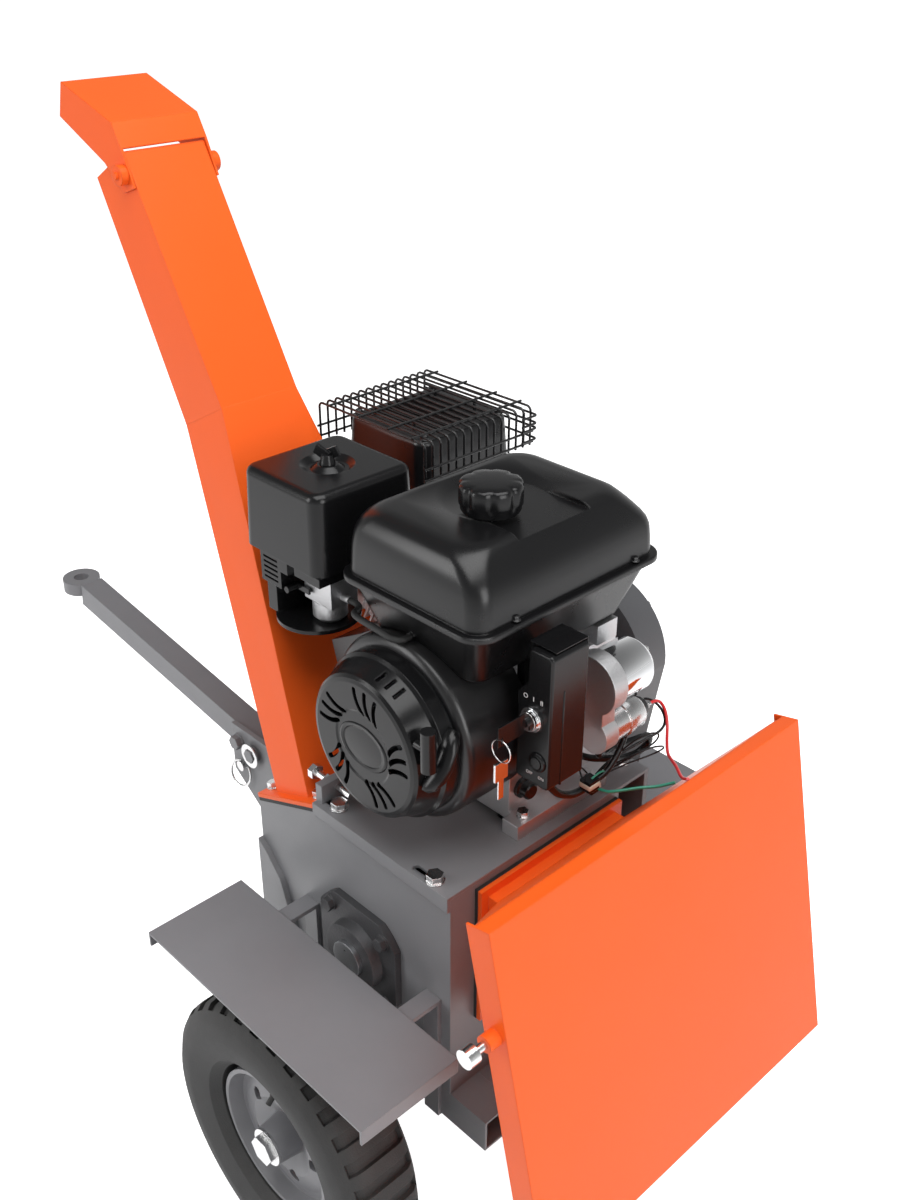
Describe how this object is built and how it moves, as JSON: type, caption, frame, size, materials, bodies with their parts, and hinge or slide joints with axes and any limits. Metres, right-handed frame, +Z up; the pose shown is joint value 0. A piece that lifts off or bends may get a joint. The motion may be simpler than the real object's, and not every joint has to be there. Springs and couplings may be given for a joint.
{
  "type": "wood chipper",
  "caption": "Towable petrol wood chipper: feed hopper with folding tray, cutting drum in a box housing, tall discharge chute, engine on a deck, two wheels, drawbar and leg.",
  "frame": {"origin": "on the ground at the middle of the outer box", "axes": "+X towards the feed hopper, +Y towards the belt drive, +Z up"},
  "size_m": [1.3996, 0.792, 1.3917],
  "materials": {
    "orange_paint": "gloss orange powder coat",
    "grey_paint": "satin dark grey powder coat",
    "mid_grey_paint": "satin grey powder coat",
    "black_paint": "satin black heat-proof paint",
    "black_plastic": "satin black moulded plastic",
    "gloss_black": "smooth black moulded plastic",
    "cast_alloy": "as-cast aluminium",
    "zinc_steel": "bright zinc plate",
    "tool_steel": "ground steel",
    "cast_iron": "machined cast iron",
    "chrome_plate": "polished chrome plate",
    "black_rubber": "matt black rubber",
    "tyre_rubber": "black tyre rubber",
    "red_cable": "red wire insulation",
    "green_cable": "green wire insulation"
  },
  "bodies": {
    "chassis": {"rails": "grey_paint", "cross_members": "grey_paint", "axle_beam": "zinc_steel", "mudguard_left": "mid_grey_paint", "mudguard_right": "mid_grey_paint", "drum_housing": "grey_paint", "bed_knife": "tool_steel", "drive_plate": "grey_paint", "bearings": "cast_iron", "belts": "black_rubber", "belt_guard": "mid_grey_paint", "gaskets": "black_rubber", "chute": "orange_paint", "chute_bolts": "zinc_steel", "hopper": "orange_paint", "drawbar_bracket": "grey_paint", "deck": "grey_paint", "deck_bolts": "zinc_steel", "crankcase": "cast_alloy", "cylinder": "cast_alloy", "rocker_cover": "black_paint", "shroud": "black_paint", "recoil_cover": "gloss_black", "fuel_tank": "gloss_black", "air_cleaner_cover": "black_plastic", "air_cleaner_base": "black_plastic", "carburettor": "cast_alloy", "muffler": "black_paint", "muffler_shield": "black_paint", "wire_guard": "black_paint", "starter_motor": "chrome_plate", "solenoid": "zinc_steel", "key_box": "black_plastic", "key_bracket": "black_paint", "ignition_lock": "chrome_plate", "fuel_hose": "black_rubber", "harness": "black_plastic", "red_wire": "red_cable", "green_wire": "green_cable"},
    "rotor": {"drum": "cast_iron", "knives": "tool_steel", "drum_shaft": "tool_steel"},
    "crank": {"crankshaft": "tool_steel"},
    "wheel_left": {"tyre_left": "tyre_rubber", "rim_left": "mid_grey_paint"},
    "wheel_right": {"tyre_right": "tyre_rubber", "rim_right": "mid_grey_paint"},
    "drawbar": {"drawbar": "mid_grey_paint"},
    "lynch_pin": {"lynch_pin": "zinc_steel"},
    "support_leg": {"support_leg": "mid_grey_paint"},
    "tray": {"feed_tray": "orange_paint"},
    "tray_latch": {"tray_latch": "zinc_steel"},
    "deflector": {"deflector": "orange_paint"},
    "fuel_cap": {"fuel_cap": "black_plastic"},
    "wing_nut": {"wing_nut": "black_plastic"},
    "choke_lever": {"choke_lever": "black_plastic"},
    "ignition_key": {"ignition_key": "zinc_steel"},
    "key_ring": {"key_ring": "zinc_steel"},
    "breaker_button": {"breaker_button": "black_plastic"},
    "starter_grip": {"starter_grip": "black_plastic"}
  },
  "joints": [
    {"name": "drum_spin", "type": "hinge", "parent": "chassis", "child": "rotor", "pos_m": [0.275, -0.05, 0.41], "axis": [0, 1, 0], "continuous": true},
    {"name": "crank_spin", "type": "hinge", "parent": "chassis", "child": "crank", "pos_m": [0.307, 0, 0.75], "axis": [0, 1, 0], "continuous": true},
    {"name": "wheel_left_spin", "type": "hinge", "parent": "chassis", "child": "wheel_left", "pos_m": [0.29, -0.34, 0.2], "axis": [0, 1, 0], "continuous": true},
    {"name": "wheel_right_spin", "type": "hinge", "parent": "chassis", "child": "wheel_right", "pos_m": [0.29, 0.34, 0.2], "axis": [0, 1, 0], "continuous": true},
    {"name": "drawbar_fold", "type": "hinge", "parent": "chassis", "child": "drawbar", "pos_m": [-0.124, -0.05, 0.449], "axis": [0, 1, 0], "range_deg": [0, 50]},
    {"name": "lynch_pin_pull", "type": "slide", "parent": "chassis", "child": "lynch_pin", "axis": [0, -1, 0], "range_m": [0, 0.085]},
    {"name": "leg_swing", "type": "hinge", "parent": "chassis", "child": "support_leg", "pos_m": [-0.055, -0.05, 0.35], "axis": [0, 1, 0], "range_deg": [0, 85]},
    {"name": "tray_fold", "type": "hinge", "parent": "chassis", "child": "tray", "pos_m": [0.69007, -0.04, 0.28192], "axis": [0, 1, 0], "range_deg": [0, 100]},
    {"name": "tray_latch_slide", "type": "slide", "parent": "tray", "child": "tray_latch", "axis": [0, 1, 0], "range_m": [0, 0.012]},
    {"name": "deflector_tilt", "type": "hinge", "parent": "chassis", "child": "deflector", "pos_m": [-0.24774, -0.05, 1.29377], "axis": [0, 1, 0], "range_deg": [-30, 25]},
    {"name": "fuel_cap_turn", "type": "hinge", "parent": "chassis", "child": "fuel_cap", "pos_m": [0.338, -0.043, 1.02], "axis": [0, 0, 1], "range_deg": [0, 90]},
    {"name": "wing_nut_turn", "type": "hinge", "parent": "chassis", "child": "wing_nut", "pos_m": [0.1045, -0.0875, 1.005], "axis": [0, 0, 1], "continuous": true},
    {"name": "choke_lever_turn", "type": "hinge", "parent": "chassis", "child": "choke_lever", "pos_m": [0.118, -0.134, 0.851], "axis": [0, 1, 0], "range_deg": [-30, 18]},
    {"name": "ignition_key_turn", "type": "hinge", "parent": "chassis", "child": "ignition_key", "pos_m": [0.454, -0.11, 0.803], "axis": [0, 1, 0], "range_deg": [0, 60]},
    {"name": "key_ring_hang", "type": "hinge", "parent": "ignition_key", "child": "key_ring", "pos_m": [0.454, -0.139, 0.797], "axis": [0, 1, 0], "range_deg": [-60, 0]},
    {"name": "breaker_button_press", "type": "slide", "parent": "chassis", "child": "breaker_button", "axis": [0, 1, 0], "range_m": [0, 0.0025], "stiffness_N_per_m": 600},
    {"name": "starter_grip_pull", "type": "slide", "parent": "chassis", "child": "starter_grip", "axis": [1, 0, 0], "range_m": [0, 0.05], "stiffness_N_per_m": 60}
  ],
  "couplings": [
    {"joint": "crank_spin", "follows": "drum_spin", "ratio": 0.75},
    {"joint": "key_ring_hang", "follows": "ignition_key_turn", "ratio": -1}
  ]
}
